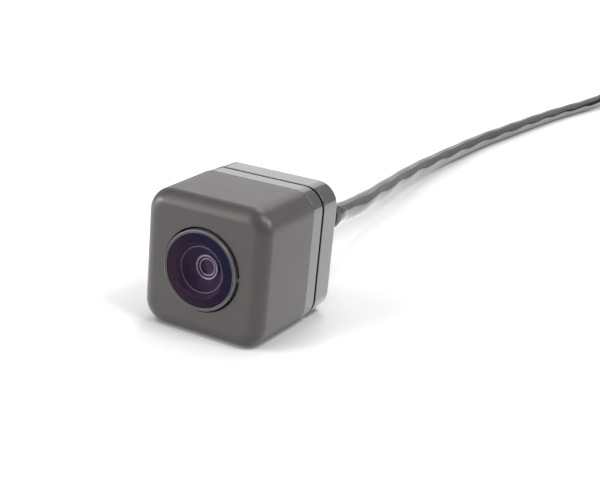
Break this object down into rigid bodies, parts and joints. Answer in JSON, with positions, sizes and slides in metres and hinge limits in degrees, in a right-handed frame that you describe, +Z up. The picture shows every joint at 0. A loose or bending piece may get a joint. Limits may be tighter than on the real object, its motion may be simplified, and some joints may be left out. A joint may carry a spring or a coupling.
{
  "type": "backup camera",
  "caption": "Cube-shaped backup camera with a wide-angle lens, a cable gland behind and a round cable that ends in a screw plug.",
  "frame": {"origin": "on the ground under the middle of the camera head, which is measured from the front of the lens to the back of the gland nut, without the strain relief, cable and plug", "axes": "-Y out of the lens, +Y out of the cable gland, +X to the right as seen from in front of the lens, +Z up"},
  "size_m": [0.0712, 0.3596, 0.024],
  "materials": {
    "shell_plastic": "matte black, finely textured moulding",
    "cover_plastic": "glossy black moulding",
    "seal_rubber": "black seal rubber",
    "trim_metal": "black anodised",
    "lens_glass": "coated optical glass",
    "barrel_metal": "blackened",
    "inner_plastic": "black moulding",
    "circuit_board": "green solder mask on glass-fibre board",
    "screw_steel": "plain stainless steel",
    "can_metal": "bare can",
    "wire_insulation": "coloured wire insulation",
    "boot_rubber": "soft black overmould",
    "cable_sheath": "shiny black sheath with the faint twist of the cores",
    "tie_fabric": "woven hook-and-loop strap",
    "ring_metal": "nickel plated",
    "pin_brass": "gold plated"
  },
  "bodies": {
    "camera": {"front_shell": "shell_plastic", "mid_frame": "cover_plastic", "housing_gasket": "seal_rubber", "rear_cover": "cover_plastic", "rear_screw_1": "screw_steel", "rear_screw_2": "screw_steel", "rear_screw_3": "screw_steel", "rear_screw_4": "screw_steel", "lens_trim_ring": "trim_metal", "front_lens": "lens_glass", "lens_barrel": "barrel_metal", "baffle_ring": "barrel_metal", "second_lens": "lens_glass", "aperture_stop": "barrel_metal", "third_lens": "lens_glass", "lens_spacer": "barrel_metal", "rear_lens": "lens_glass", "lens_retainer": "barrel_metal", "ir_filter": "lens_glass", "barrel_o_ring": "seal_rubber", "lens_holder": "inner_plastic", "holder_screw_1": "screw_steel", "holder_screw_2": "screw_steel", "image_sensor": "inner_plastic", "sensor_glass": "lens_glass", "sensor_board": "circuit_board", "main_board": "circuit_board", "board_plug": "inner_plastic", "board_socket": "inner_plastic", "processor": "inner_plastic", "power_inductor": "inner_plastic", "crystal": "can_metal", "filter_capacitor": "can_metal", "wire_header": "inner_plastic", "wire_housing": "inner_plastic", "inner_wire_1": "wire_insulation", "inner_wire_2": "wire_insulation", "inner_wire_3": "wire_insulation", "inner_wire_4": "wire_insulation", "gland_seal": "seal_rubber", "gland_nut": "cover_plastic", "strain_relief": "boot_rubber", "cable_entry": "cable_sheath", "camera_cable": "cable_sheath", "cable_coil": "cable_sheath", "coil_tie_1": "tie_fabric", "coil_tie_2": "tie_fabric", "plug_body": "boot_rubber", "contact_carrier": "inner_plastic", "plug_seal": "seal_rubber", "contact_pin_1": "pin_brass", "contact_pin_2": "pin_brass", "contact_pin_3": "pin_brass", "contact_pin_4": "pin_brass"},
    "coupling_ring": {"coupling_ring": "ring_metal"}
  },
  "joints": [
    {"name": "coupling_ring_turn", "type": "hinge", "parent": "camera", "child": "coupling_ring", "pos_m": [0.0485, 0.275, 0.00802], "axis": [0, 1, 0], "continuous": true}
  ]
}
